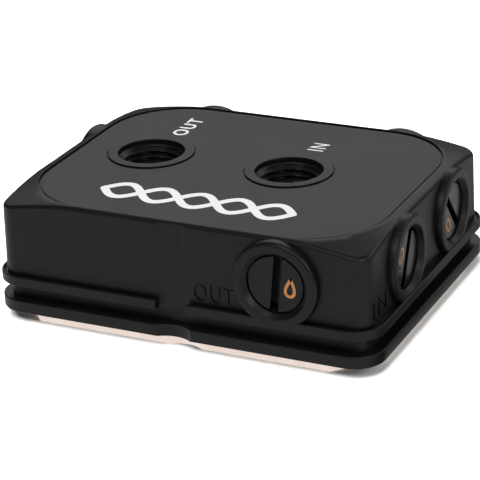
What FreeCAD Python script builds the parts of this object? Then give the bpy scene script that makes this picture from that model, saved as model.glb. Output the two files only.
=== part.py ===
"""Liquid cooling cold plate: a moulded port block over a finned copper plate.

Millimetres. The origin is the centre of the copper contact face, X runs along
the long side, Y from the front wall to the back wall, and +Z out of the two
open ports. Every driving dimension is a cell of the sheet "Dims", and the
solids are bound to those cells by expressions.
"""
import math
import os

import FreeCAD
import Part
import Sketcher

DIMENSIONS = {
    # copper plate
    "plate_half_x": 39.25, "plate_half_y": 30.3, "plate_thick": 2.3,
    "plate_corner_leg": 8.0, "plate_edge_break": 0.3,
    "plate_notch_x": 1.0, "plate_notch_radius": 6.0, "plate_notch_depth": 1.3,
    "fin_thick": 0.5, "fin_pitch": 1.0, "fin_rise": 3.0, "fin_half_length": 12.0,
    # lips round the foot of the block, with the bracket groove between them
    "lip_half_x": 41.05, "lip_half_y": 32.1, "lip_corner": 6.2,
    "lower_lip_top": 4.8, "upper_lip_base": 7.75, "upper_lip_top": 9.7,
    "groove_half_x": 38.5, "groove_half_y": 29.6, "groove_corner": 2.0,
    "lower_lip_chamfer": 0.3, "upper_lip_chamfer": 0.35,
    # walls and crown
    "wall_half_x": 39.6, "wall_half_y": 30.67, "wall_corner": 3.8, "wall_draft": 1.2,
    "crest_level": 26.05, "crown_reach": 12.0, "crown_drop": 3.2, "brow_chamfer": 0.55,
    "panel_half_x": 37.1, "panel_half_y": 29.25, "panel_corner": 16.15, "panel_recess": 0.3,
    # the two open ports in the top
    "port_out_x": -21.54, "port_in_x": 9.47, "port_row_y": 1.98,
    "mouth_radius": 6.85, "bore_radius": 5.8,
    "collar_radius": 8.94, "collar_rise": 0.2, "top_bore_floor": 12.4, "throat_radius": 4.5,
    # the six plugged ports in the walls
    "boss_radius": 9.1, "boss_axis_level": 16.9, "boss_chamfer": 0.6, "boss_root": 8.0,
    "boss_face_x": 40.25, "boss_face_y": 31.6, "side_bore_depth": 9.4,
    "front_port_x": 21.1, "right_front_port_y": -11.5, "right_rear_port_y": 13.5,
    "left_port_y": 11.17, "back_left_port_x": -20.6, "back_right_port_x": 22.5,
    # passages from the side ports, each ending over a riser from the chambers
    "passage_half": 2.5, "riser_half": 2.5,
    "front_passage_end": 16.5, "right_passage_end": 11.5, "left_passage_end": 23.5,
    "back_left_passage_end": 16.5, "back_right_passage_end": 14.0, "right_rear_riser_y": 10.8,
    # chambers under the ports
    "chamber_half_x": 29.0, "chamber_half_y": 21.5, "chamber_corner": 5.0,
    "chamber_ceiling": 11.0, "island_half_x": 19.0, "island_half_y": 16.0, "island_wall": 2.0,
    "jet_thick": 1.0, "jet_slot_half_x": 13.0, "jet_slot_half_y": 0.8, "gasket_thick": 0.5,
    # seal of the copper plate
    "seal_half_x": 31.2, "seal_half_y": 23.7, "seal_corner": 5.0, "seal_width": 2.4,
    "seal_depth": 1.5,
    # front notch
    "notch_left": -3.1, "notch_right": 2.9, "channel_left": -3.2, "channel_right": 2.1,
    "channel_depth": 0.12, "lip_notch_x": -0.55, "lip_notch_radius": 6.5,
    "lip_notch_depth": 1.2,
    # port plugs
    "plug_recess": 0.6, "plug_length": 7.3, "plug_seal_inner": 4.3,
    "plug_slot_half": 0.8, "plug_slot_depth": 2.0,
}

SHEET = "Dims"
FIN_COUNT = 30
SEAL_OPENING_SIDES = 8
OVERSHOOT = 2.0   # how far a cutting profile runs past the face it cuts
TOUCH = 1e-4      # two lengths closer than this are the same


class Size:
    """A length that carries its number and the sheet expression behind it."""

    def __init__(self, value, text):
        self.value = float(value)
        self.text = text

    def __add__(self, other):
        other = as_size(other)
        return Size(self.value + other.value, f"({self.text} + {other.text})")

    def __sub__(self, other):
        other = as_size(other)
        return Size(self.value - other.value, f"({self.text} - {other.text})")

    def __mul__(self, factor):
        return Size(self.value * factor, f"({self.text} * {factor})")

    def __neg__(self):
        return self * -1


def as_size(length):
    """Return the length as a Size."""
    return length if isinstance(length, Size) else Size(length, f"{length} mm")


def dim(alias):
    """Return one driving dimension of the sheet."""
    return Size(DIMENSIONS[alias], f"<<{SHEET}>>.{alias} * 1 mm")


ZERO = Size(0, "0 mm")


class Port:
    """A side port: its wall, the sheet cells that place it, and its plug's turn in degrees."""

    def __init__(self, name, wall, along_alias, passage_end_alias, slot_lean):
        self.name = name
        self.wall = wall
        self.along = dim(along_alias)
        self.passage_end = dim(passage_end_alias)
        self.slot_lean = slot_lean


PORTS = (
    Port("front", "front", "front_port_x", "front_passage_end", 6.0),
    Port("right_front", "right", "right_front_port_y", "right_passage_end", 23.0),
    Port("right_rear", "right", "right_rear_port_y", "right_passage_end", -38.0),
    Port("left", "left", "left_port_y", "left_passage_end", 15.0),
    Port("back_left", "back", "back_left_port_x", "back_left_passage_end", -30.0),
    Port("back_right", "back", "back_right_port_x", "back_right_passage_end", 50.0),
)

WALLS = {
    # wall: (origin plane, alias of the boss face, side of the plane, inward direction)
    "front": ("XZ_Plane", "boss_face_y", 1, FreeCAD.Vector(0, 1, 0)),
    "back": ("XZ_Plane", "boss_face_y", -1, FreeCAD.Vector(0, -1, 0)),
    "right": ("YZ_Plane", "boss_face_x", 1, FreeCAD.Vector(-1, 0, 0)),
    "left": ("YZ_Plane", "boss_face_x", -1, FreeCAD.Vector(1, 0, 0)),
}

doc = FreeCAD.newDocument("ColdPlate")


def write_sheet():
    """Fill the sheet with the driving dimensions, one aliased cell a row."""
    sheet = doc.addObject("Spreadsheet::Sheet", SHEET)
    sheet.Label = SHEET
    for row, (alias, value) in enumerate(DIMENSIONS.items(), start=1):
        sheet.set(f"A{row}", alias)
        sheet.set(f"B{row}", str(value))
        sheet.setAlias(f"B{row}", alias)
    doc.recompute()


def bind(thing, path, size):
    """Tie one property of a document object to a sheet expression."""
    thing.setExpression(path, size.text)


def new_body(name):
    """Add an empty PartDesign body."""
    body = doc.addObject("PartDesign::Body", name)
    body.Label = name
    return body


def new_sketch(body, name, plane="XY_Plane", offset=ZERO):
    """Add a sketch on an origin plane of the body, moved along the plane's normal."""
    sketch = body.newObject("Sketcher::SketchObject", name)
    role = next(item for item in body.Origin.OriginFeatures if item.Role == plane)
    sketch.AttachmentSupport = [(role, "")]
    sketch.MapMode = "FlatFace"
    bind(sketch, "AttachmentOffset.Base.z", offset)
    return sketch


def constrain(sketch, kind, args, size, name):
    """Add a dimensional constraint bound to the sheet."""
    index = sketch.addConstraint(Sketcher.Constraint(kind, *args, size.value))
    sketch.renameConstraint(index, name)
    sketch.setExpression(f"Constraints.{name}", size.text)


def draw_circle(sketch, x, y, radius):
    """Draw a circle placed from the sketch origin."""
    centre = FreeCAD.Vector(x.value, y.value, 0)
    geo = sketch.addGeometry(Part.Circle(centre, FreeCAD.Vector(0, 0, 1), radius.value))
    constrain(sketch, "Radius", (geo,), radius, f"radius_{geo}")
    place_point(sketch, geo, 3, x, y)


def place_point(sketch, geo, point, x, y):
    """Place one point of the sketch from its origin."""
    for kind, size, axis in (("DistanceX", x, "x"), ("DistanceY", y, "y")):
        name = f"{axis}_{geo}_{point}"
        constrain(sketch, kind, (-1, 1, geo, point), size, name)


def draw_polygon(sketch, points):
    """Draw a closed outline of straight edges with every corner placed."""
    first = sketch.GeometryCount
    count = len(points)
    for index, (x, y) in enumerate(points):
        next_x, next_y = points[(index + 1) % count]
        start = FreeCAD.Vector(x.value, y.value, 0)
        end = FreeCAD.Vector(next_x.value, next_y.value, 0)
        sketch.addGeometry(Part.LineSegment(start, end))
    for index, (x, y) in enumerate(points):
        geo = first + index
        following = first + (index + 1) % count
        sketch.addConstraint(Sketcher.Constraint("Coincident", geo, 2, following, 1))
        place_point(sketch, geo, 1, x, y)


def draw_rect(sketch, x, y, half_x, half_y):
    """Draw a sharp rectangle round a centre."""
    draw_polygon(sketch, [(x - half_x, y - half_y), (x + half_x, y - half_y),
                          (x + half_x, y + half_y), (x - half_x, y + half_y)])


def draw_regular_polygon(sketch, sides, radius):
    """Draw a regular polygon round the sketch origin, a side at the right."""
    turns = [2 * math.pi * (step + 0.5) / sides for step in range(sides)]
    draw_polygon(sketch, [(radius * math.cos(turn), radius * math.sin(turn)) for turn in turns])


def draw_rounded_rect(sketch, half_x, half_y, corner):
    """Draw a centred rounded rectangle: four sides, four equal corner arcs."""
    first = sketch.GeometryCount
    x, y, r = half_x.value, half_y.value, corner.value
    up = FreeCAD.Vector(0, 0, 1)
    corners = (((x - r, y - r), 0), ((r - x, y - r), 90), ((r - x, r - y), 180), ((x - r, r - y), 270))
    sides = (((x, r - y), (x, y - r)), ((x - r, y), (r - x, y)),
             ((-x, y - r), (-x, r - y)), ((r - x, -y), (x - r, -y)))
    for (start, end), (centre, turn) in zip(sides, corners):
        sketch.addGeometry(Part.LineSegment(FreeCAD.Vector(*start, 0), FreeCAD.Vector(*end, 0)))
        circle = Part.Circle(FreeCAD.Vector(*centre, 0), up, r)
        arc = Part.ArcOfCircle(circle, math.radians(turn), math.radians(turn + 90))
        sketch.addGeometry(arc)
    for step in range(4):
        side, arc = first + 2 * step, first + 2 * step + 1
        following = first + (2 * step + 2) % 8
        sketch.addConstraint(Sketcher.Constraint("Tangent", side, 2, arc, 1))
        sketch.addConstraint(Sketcher.Constraint("Tangent", arc, 2, following, 1))
        if step:
            sketch.addConstraint(Sketcher.Constraint("Equal", first + 1, arc))
    sketch.addConstraint(Sketcher.Constraint("Vertical", first))
    sketch.addConstraint(Sketcher.Constraint("Horizontal", first + 2))
    constrain(sketch, "Radius", (first + 1,), corner, f"corner_{first}")
    constrain(sketch, "DistanceX", (-1, 1, first, 1), half_x, f"right_{first}")
    constrain(sketch, "DistanceX", (first + 4, 1, -1, 1), half_x, f"left_{first}")
    constrain(sketch, "DistanceY", (-1, 1, first + 2, 1), half_y, f"back_{first}")
    constrain(sketch, "DistanceY", (first + 6, 1, -1, 1), half_y, f"front_{first}")


def add_pad(body, sketch, length, reverse=False, draft=None):
    """Pad a sketch upward, or downward when reversed, with an optional draft."""
    pad = body.newObject("PartDesign::Pad", f"Pad_{sketch.Name}")
    pad.Profile = sketch
    pad.Reversed = reverse
    bind(pad, "Length", length)
    if draft:
        bind(pad, "TaperAngle", draft)
    return pad


def add_pocket(body, sketch, depth, reverse=False):
    """Pocket a sketch against its normal, or along it when reversed, and check that it cuts."""
    doc.recompute()
    before = body.Shape.Volume
    pocket = body.newObject("PartDesign::Pocket", f"Pocket_{sketch.Name}")
    pocket.Profile = sketch
    pocket.Reversed = reverse
    bind(pocket, "Length", depth)
    doc.recompute()
    if not body.Shape.Volume < before - 1e-3:
        raise RuntimeError(f"{pocket.Name} cuts nothing")
    return pocket


def pick_edges(shape, test):
    """Name the edges of a shape that pass a test."""
    return [f"Edge{i}" for i, edge in enumerate(shape.Edges, start=1) if test(edge)]


def lies_at(edge, level):
    """Tell whether an edge lies flat at a level."""
    box = edge.BoundBox
    return abs(box.ZMin - level) < TOUCH and abs(box.ZMax - level) < TOUCH


def add_chamfer(body, size, test):
    """Chamfer the edges of a body that pass a test."""
    doc.recompute()
    base = body.Tip
    chamfer = body.newObject("PartDesign::Chamfer", f"Chamfer_{base.Name}")
    chamfer.Base = (base, pick_edges(base.Shape, test))
    bind(chamfer, "Size", size)
    return chamfer


def combine(kind, name, parts):
    """Add a Part boolean of a list of parts: MultiFuse or MultiCommon."""
    result = doc.addObject(f"Part::{kind}", name)
    result.Shapes = parts
    return result


def chamfer_edges(name, base, size_alias, test):
    """Chamfer the edges of a Part object that pass a test."""
    doc.recompute()
    chamfer = doc.addObject("Part::Chamfer", name)
    chamfer.Base = base
    size = DIMENSIONS[size_alias]
    numbers = [int(edge[4:]) for edge in pick_edges(base.Shape, test)]
    chamfer.Edges = [(number, size, size) for number in numbers]
    return chamfer


def make_lips():
    """The foot of the block: both lips, chamfered on top, and the bracket groove between."""
    body = new_body("housing_foot")
    foot_base = dim("plate_thick")
    core = new_sketch(body, "groove_outline", offset=foot_base)
    draw_rounded_rect(core, dim("groove_half_x"), dim("groove_half_y"), dim("groove_corner"))
    add_pad(body, core, dim("upper_lip_top") - foot_base)
    for name, base in (("lower", foot_base), ("upper", dim("upper_lip_base"))):
        outline = new_sketch(body, f"{name}_lip_outline", offset=base)
        draw_rounded_rect(outline, dim("lip_half_x"), dim("lip_half_y"), dim("lip_corner"))
        top = dim(f"{name}_lip_top")
        add_pad(body, outline, top - base)
        add_chamfer(body, dim(f"{name}_lip_chamfer"),
                    lambda edge, level=top.value: on_lip_rim(edge, level))
    return body


def on_lip_rim(edge, level):
    """Tell whether an edge lies on the outer rim of a lip at a level."""
    reach_x = DIMENSIONS["wall_half_x"]
    reach_y = DIMENSIONS["wall_half_y"]
    outside = all(abs(v.X) > reach_x or abs(v.Y) > reach_y for v in edge.Vertexes)
    return lies_at(edge, level) and outside


def make_crown_form():
    """The form that trims the walls' top: level panel, slopes falling away round it."""
    body = new_body("crown_form")
    reach = dim("crown_reach")
    low = dim("crest_level") - dim("crown_drop")
    foot = new_sketch(body, "crown_foot", offset=low)
    draw_rounded_rect(foot, dim("panel_half_x") + reach, dim("panel_half_y") + reach,
                      dim("panel_corner") + reach)
    rim = new_sketch(body, "crown_rim", offset=dim("crest_level"))
    draw_rounded_rect(rim, dim("panel_half_x"), dim("panel_half_y"), dim("panel_corner"))
    loft = body.newObject("PartDesign::AdditiveLoft", "crown_slopes")
    loft.Profile = foot
    loft.Sections = [rim]
    loft.Ruled = True
    skirt = new_sketch(body, "crown_skirt", offset=low)
    draw_rounded_rect(skirt, dim("panel_half_x") + reach, dim("panel_half_y") + reach,
                      dim("panel_corner") + reach)
    add_pad(body, skirt, low, reverse=True)
    return body


def make_walls():
    """The drafted walls under the crown, with the brow edge chamfered."""
    body = new_body("wall_form")
    outline = new_sketch(body, "wall_outline", offset=dim("upper_lip_base"))
    draw_rounded_rect(outline, dim("wall_half_x"), dim("wall_half_y"), dim("wall_corner"))
    height = dim("crest_level") - dim("upper_lip_base") + OVERSHOOT
    draft = Size(-DIMENSIONS["wall_draft"], f"-<<{SHEET}>>.wall_draft * 1 deg")
    add_pad(body, outline, height, draft=draft)
    trimmed = combine("MultiCommon", "walls_under_crown", [body, make_crown_form()])
    return chamfer_edges("walls_chamfered", trimmed, "brow_chamfer", is_brow)


def is_brow(edge):
    """Tell whether an edge lies where the crown's slopes meet the walls."""
    box = edge.BoundBox
    on_slope = (box.ZMin > DIMENSIONS["crest_level"] - DIMENSIONS["crown_drop"]
                and box.ZMax < DIMENSIONS["crest_level"] - TOUCH)
    outside = all(abs(v.X) > DIMENSIONS["panel_half_x"] + TOUCH
                  or abs(v.Y) > DIMENSIONS["panel_half_y"] + TOUCH for v in edge.Vertexes)
    return on_slope and outside


def stand_on_wall(thing, port, start, turn=0.0):
    """Place a part at a side port with its +Z inward, start below the boss face."""
    _, face_alias, _, inward = WALLS[port.wall]
    depth = dim(face_alias) - start
    side = -(inward.x + inward.y)
    x, y = (depth * side, port.along) if inward.x else (port.along, depth * side)
    # Local +Z points into the block and local +Y up, so a slot stands upright at turn 0.
    local_y = FreeCAD.Vector(0, 0, 1)
    rotation = FreeCAD.Rotation(local_y.cross(inward), local_y, inward, "ZXY")
    rotation = rotation * FreeCAD.Rotation(FreeCAD.Vector(0, 0, 1), turn)
    level = dim("boss_axis_level")
    thing.Placement = FreeCAD.Placement(FreeCAD.Vector(x.value, y.value, level.value), rotation)
    for axis, size in (("x", x), ("y", y), ("z", level)):
        bind(thing, f"Placement.Base.{axis}", size)


def make_bosses():
    """The six round port bosses, rims chamfered, their tops just under the crest."""
    bosses = []
    for port in PORTS:
        cylinder = doc.addObject("Part::Cylinder", f"boss_{port.name}")
        bind(cylinder, "Radius", dim("boss_radius"))
        bind(cylinder, "Height", dim("boss_root"))
        stand_on_wall(cylinder, port, ZERO)
        doc.recompute()
        mouth = cylinder.Placement.Base
        bosses.append(chamfer_edges(
            f"boss_{port.name}_chamfered", cylinder, "boss_chamfer",
            lambda edge, at=mouth: edge.Closed and edge.CenterOfMass.distanceToPoint(at) < TOUCH))
    return bosses


def cut_top(body):
    """Sink the top panel and raise a collar round each top port."""
    panel = new_sketch(body, "panel_outline", offset=dim("crest_level"))
    draw_rounded_rect(panel, dim("panel_half_x"), dim("panel_half_y"), dim("panel_corner"))
    add_pocket(body, panel, dim("panel_recess"))
    collars = new_sketch(body, "collars", offset=dim("crest_level") - dim("panel_recess"))
    for port_x in ("port_out_x", "port_in_x"):
        draw_circle(collars, dim(port_x), dim("port_row_y"), dim("collar_radius"))
    add_pad(body, collars, dim("collar_rise"))


def cut_chambers(body):
    """Hollow the block from below: outlet chamber round an island, inlet chamber in it."""
    foot = dim("plate_thick")
    island_level = foot + dim("fin_rise") + dim("jet_thick") + dim("gasket_thick")
    height = dim("chamber_ceiling") - island_level
    hollow = new_sketch(body, "hollow", offset=foot)
    draw_rounded_rect(hollow, dim("chamber_half_x"), dim("chamber_half_y"), dim("chamber_corner"))
    add_pocket(body, hollow, island_level - foot, reverse=True)
    outlet = new_sketch(body, "outlet_chamber", offset=island_level)
    draw_rounded_rect(outlet, dim("chamber_half_x"), dim("chamber_half_y"), dim("chamber_corner"))
    draw_rect(outlet, ZERO, ZERO, dim("island_half_x"), dim("island_half_y"))
    add_pocket(body, outlet, height, reverse=True)
    inlet = new_sketch(body, "inlet_chamber", offset=island_level)
    draw_rect(inlet, ZERO, ZERO, dim("island_half_x") - dim("island_wall"),
              dim("island_half_y") - dim("island_wall"))
    add_pocket(body, inlet, height, reverse=True)


def cut_top_ports(body):
    """Bore the two open ports down to their chambers and chamfer their mouths."""
    collar_top = dim("crest_level") - dim("panel_recess") + dim("collar_rise")
    bores = new_sketch(body, "top_bores", offset=collar_top)
    throats = new_sketch(body, "throats", offset=dim("top_bore_floor"))
    for port_x in ("port_out_x", "port_in_x"):
        draw_circle(bores, dim(port_x), dim("port_row_y"), dim("bore_radius"))
        draw_circle(throats, dim(port_x), dim("port_row_y"), dim("throat_radius"))
    add_pocket(body, bores, collar_top - dim("top_bore_floor"))
    add_pocket(body, throats, dim("top_bore_floor") - dim("chamber_ceiling"))


def cut_side_ports(body):
    """Bore each side port from its boss face, then mould its passage and the risers."""
    for port in PORTS:
        plane, face_alias, side, _ = WALLS[port.wall]
        face = dim(face_alias)
        bore = new_sketch(body, f"bore_{port.name}", plane, face * side)
        draw_circle(bore, port.along, dim("boss_axis_level"), dim("bore_radius"))
        add_pocket(body, bore, dim("side_bore_depth"), reverse=side < 0)
        passage = new_sketch(body, f"passage_{port.name}", plane, face * side)
        half = dim("passage_half")
        draw_rect(passage, port.along, dim("boss_axis_level"), half, half)
        add_pocket(body, passage, face - port.passage_end, reverse=side < 0)
    risers = new_sketch(body, "risers", offset=dim("chamber_ceiling"))
    half = dim("riser_half")
    for x, y in riser_places():
        draw_rect(risers, x, y, half, half)
    add_pocket(body, risers, dim("boss_axis_level") - dim("chamber_ceiling"), reverse=True)


def riser_places():
    """Return the centres of the five risers, each at the end of its passage."""
    half = dim("riser_half")
    right_x = dim("right_passage_end") + half
    return [(dim("front_port_x"), -(dim("front_passage_end") + half)),
            (dim("back_left_port_x"), dim("back_left_passage_end") + half),
            (-(dim("left_passage_end") + half), dim("left_port_y")),
            (right_x, dim("right_front_port_y")),
            (right_x, dim("right_rear_riser_y"))]


def is_mouth(edge):
    """Tell whether an edge is the round mouth of one of the eight threaded ports."""
    if not edge.Closed or not isinstance(edge.Curve, Part.Circle):
        return False
    if abs(edge.Curve.Radius - DIMENSIONS["bore_radius"]) > TOUCH:
        return False
    centre = edge.Curve.Center
    collar_top = DIMENSIONS["crest_level"] - DIMENSIONS["panel_recess"] + DIMENSIONS["collar_rise"]
    return (abs(centre.z - collar_top) < TOUCH
            or abs(abs(centre.x) - DIMENSIONS["boss_face_x"]) < TOUCH
            or abs(abs(centre.y) - DIMENSIONS["boss_face_y"]) < TOUCH)


def cut_seal_groove(body):
    """Cut the groove of the base seal into the underside."""
    groove = new_sketch(body, "seal_groove", offset=dim("plate_thick"))
    draw_seal_outline(groove)
    add_pocket(body, groove, dim("seal_depth"), reverse=True)


def draw_seal_outline(sketch):
    """Draw the two outlines, half a width either side of the seal's centre line."""
    for side in (0.5, -0.5):
        shift = dim("seal_width") * side
        draw_rounded_rect(sketch, dim("seal_half_x") + shift, dim("seal_half_y") + shift,
                          dim("seal_corner") + shift)


def cut_front_notch(body):
    """Break the upper lip at the front, scoop the lower one and channel the wall."""
    outside = -(dim("lip_half_y") + OVERSHOOT)
    wall = -dim("wall_half_y")
    gap = new_sketch(body, "upper_lip_gap", offset=dim("upper_lip_base"))
    left, right = dim("notch_left"), dim("notch_right")
    draw_polygon(gap, [(left, outside), (right, outside), (right, wall), (left, wall)])
    add_pocket(body, gap, dim("upper_lip_top") - dim("upper_lip_base"), reverse=True)
    scoop = new_sketch(body, "lower_lip_scoop", offset=dim("plate_thick"))
    centre_y = -(dim("lip_half_y") + dim("lip_notch_radius") - dim("lip_notch_depth"))
    draw_circle(scoop, dim("lip_notch_x"), centre_y, dim("lip_notch_radius"))
    add_pocket(body, scoop, dim("lower_lip_top") - dim("plate_thick"), reverse=True)
    channel = new_sketch(body, "wall_channel", "YZ_Plane", dim("channel_left"))
    rise = dim("crest_level") - dim("upper_lip_base")
    slope = math.tan(math.radians(DIMENSIONS["wall_draft"]))
    lean = Size(rise.value * slope, f"({rise.text} * tan(<<{SHEET}>>.wall_draft * 1 deg))")
    foot_y = wall + dim("channel_depth")
    base, top = dim("upper_lip_base"), dim("crest_level")
    draw_polygon(channel, [(outside, base), (foot_y, base), (foot_y + lean, top), (outside, top)])
    add_pocket(body, channel, dim("channel_right") - dim("channel_left"), reverse=True)


def make_housing():
    """The moulded block: foot, walls, bosses, crown, ports, chambers and notch."""
    blank = combine("MultiFuse", "housing_blank", [make_lips(), make_walls(), *make_bosses()])
    blank.Refine = True
    doc.recompute()
    body = new_body("housing")
    body.BaseFeature = blank
    doc.recompute()
    cut_top(body)
    cut_chambers(body)
    cut_top_ports(body)
    cut_side_ports(body)
    cut_seal_groove(body)
    cut_front_notch(body)
    add_chamfer(body, dim("mouth_radius") - dim("bore_radius"), is_mouth)
    return body


def make_cold_plate():
    """The copper plate: cut corners, a front notch and a row of fins."""
    body = new_body("cold_plate")
    x, y, leg = dim("plate_half_x"), dim("plate_half_y"), dim("plate_corner_leg")
    outline = new_sketch(body, "plate_outline")
    draw_polygon(outline, [(x, leg - y), (x, y - leg), (x - leg, y), (leg - x, y),
                           (-x, y - leg), (-x, leg - y), (leg - x, -y), (x - leg, -y)])
    add_pad(body, outline, dim("plate_thick"))
    scoop = new_sketch(body, "plate_scoop")
    centre_y = -(y + dim("plate_notch_radius") - dim("plate_notch_depth"))
    draw_circle(scoop, dim("plate_notch_x"), centre_y, dim("plate_notch_radius"))
    add_pocket(body, scoop, dim("plate_thick"), reverse=True)
    add_chamfer(body, dim("plate_edge_break"), lambda edge: lies_at(edge, 0.0))
    fin = new_sketch(body, "fin", offset=dim("plate_thick"))
    span = dim("fin_pitch") * (FIN_COUNT - 1)
    left = -(span + dim("fin_thick")) * 0.5
    right, reach = left + dim("fin_thick"), dim("fin_half_length")
    draw_polygon(fin, [(left, -reach), (right, -reach), (right, reach), (left, reach)])
    pad = add_pad(body, fin, dim("fin_rise"))
    doc.recompute()
    rows = body.newObject("PartDesign::LinearPattern", "fins")
    rows.Originals = [pad]
    x_axis = next(item for item in body.Origin.OriginFeatures if item.Role == "X_Axis")
    rows.Direction = (x_axis, [""])
    rows.Occurrences = FIN_COUNT
    bind(rows, "Length", span)
    body.Tip = rows
    return body


def make_jet_parts():
    """The slotted jet plate on the fins, and the gasket between it and the island."""
    fin_top = dim("plate_thick") + dim("fin_rise")
    half_x, half_y = dim("island_half_x"), dim("island_half_y")
    plate = new_body("jet_plate")
    outline = new_sketch(plate, "jet_outline", offset=fin_top)
    draw_rect(outline, ZERO, ZERO, half_x, half_y)
    draw_rect(outline, ZERO, ZERO, dim("jet_slot_half_x"), dim("jet_slot_half_y"))
    add_pad(plate, outline, dim("jet_thick"))
    gasket = new_body("jet_gasket")
    ring = new_sketch(gasket, "gasket_outline", offset=fin_top + dim("jet_thick"))
    draw_rect(ring, ZERO, ZERO, half_x, half_y)
    draw_rect(ring, ZERO, ZERO, half_x - dim("island_wall"), half_y - dim("island_wall"))
    add_pad(gasket, ring, dim("gasket_thick"))
    return [plate, gasket]


def make_base_seal():
    """The seal squeezed into its groove between block and copper plate."""
    body = new_body("base_seal")
    ring = new_sketch(body, "seal_outline", offset=dim("plate_thick"))
    draw_seal_outline(ring)
    add_pad(body, ring, dim("seal_depth"))
    return body


def make_plug(port):
    """A slotted screw plug that fills the thread of its port."""
    body = new_body(f"plug_{port.name}")
    disc = new_sketch(body, f"disc_{port.name}")
    draw_circle(disc, ZERO, ZERO, dim("bore_radius"))
    add_pad(body, disc, dim("plug_length"))
    slot = new_sketch(body, f"slot_{port.name}")
    draw_rect(slot, ZERO, ZERO, dim("plug_slot_half"), dim("bore_radius") + OVERSHOOT)
    add_pocket(body, slot, dim("plug_slot_depth"), reverse=True)
    stand_on_wall(body, port, dim("plug_recess"), port.slot_lean)
    return body


def make_plug_seal(port):
    """The squeezed seal between a plug's tail and its port's floor; nothing seats in its opening."""
    body = new_body(f"plug_seal_{port.name}")
    ring = new_sketch(body, f"ring_{port.name}")
    draw_circle(ring, ZERO, ZERO, dim("bore_radius"))
    draw_regular_polygon(ring, SEAL_OPENING_SIDES, dim("plug_seal_inner"))
    plug_tail = dim("plug_recess") + dim("plug_length")
    add_pad(body, ring, dim("side_bore_depth") - plug_tail)
    stand_on_wall(body, port, plug_tail)
    return body


def check(parts):
    """Stop on any failed feature and on any null or invalid sub-part."""
    doc.recompute()
    for thing in doc.Objects:
        if "Invalid" in thing.State or "Error" in thing.State:
            raise RuntimeError(f"{thing.Name} failed: {thing.State}")
    for part in parts:
        if part.Shape.isNull() or not part.Shape.isValid():
            raise RuntimeError(f"{part.Label} has no valid shape")


def main():
    """Build every sub-part, check them and write one STEP file for each."""
    write_sheet()
    parts = [make_housing(), make_cold_plate(), *make_jet_parts(), make_base_seal()]
    for port in PORTS:
        parts += [make_plug(port), make_plug_seal(port)]
    check(parts)
    os.makedirs("parts", exist_ok=True)
    for part in parts:
        part.Shape.exportStep(f"parts/{part.Label}.step")
        box = part.Shape.BoundBox
        print(f"{part.Label}: {len(part.Shape.Solids)} solid(s), {part.Shape.Volume / 1000:.2f} cm3, "
              f"{box.XLength:.2f} x {box.YLength:.2f} x {box.ZLength:.2f}")


main()
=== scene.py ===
"""Liquid cooling cold plate, dressed for a studio render.

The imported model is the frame: it gives every piece its place and its box. This
script makes the moulded housing, the port plugs, the copper plate and its
screws as finished meshes, cuts the threads and the engraved words, prints the
top, and gives each piece the finish of its real material. Lengths are
millimetres until a mesh becomes a Blender object.
"""

import logging
import math
from dataclasses import dataclass, field
from enum import Enum
from typing import Iterable, Sequence

import bmesh
import bpy
from mathutils import Matrix, Vector


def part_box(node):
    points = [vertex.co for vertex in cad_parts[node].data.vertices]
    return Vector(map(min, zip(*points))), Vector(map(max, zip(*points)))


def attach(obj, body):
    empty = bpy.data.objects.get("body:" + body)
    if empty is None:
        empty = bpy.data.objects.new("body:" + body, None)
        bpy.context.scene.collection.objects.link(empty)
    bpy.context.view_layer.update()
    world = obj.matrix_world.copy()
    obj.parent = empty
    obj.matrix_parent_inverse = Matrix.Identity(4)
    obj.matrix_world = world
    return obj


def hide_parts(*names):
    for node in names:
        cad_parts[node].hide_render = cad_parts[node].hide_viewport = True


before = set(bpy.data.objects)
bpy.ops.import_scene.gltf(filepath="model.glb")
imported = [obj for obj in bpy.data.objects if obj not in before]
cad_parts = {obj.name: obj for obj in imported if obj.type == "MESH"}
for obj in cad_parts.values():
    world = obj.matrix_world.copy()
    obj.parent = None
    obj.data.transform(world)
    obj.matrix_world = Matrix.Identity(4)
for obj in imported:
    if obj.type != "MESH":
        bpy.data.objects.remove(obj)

LOG = logging.getLogger("cold_plate")
MM = 0.001
BODY = "root"
WELD = 0.0005   # points closer than this become one before a cut
SEAM = 0.002    # and after the last cut, where cuts meet

Point = tuple[float, float, float]
Ring = list[Point]


class Wall(Enum):
    """The four walls of the housing, each with the direction that points into it."""

    FRONT = (0, 1, 0)
    BACK = (0, -1, 0)
    RIGHT = (-1, 0, 0)
    LEFT = (1, 0, 0)

    @property
    def inward(self) -> Vector:
        """Return the unit vector that points into the housing."""
        return Vector(self.value)


class Cut(Enum):
    """The two ways in which one solid works on another."""

    JOIN = "UNION"
    TAKE = "DIFFERENCE"


# ---------------------------------------------------------------- mesh tools

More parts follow.
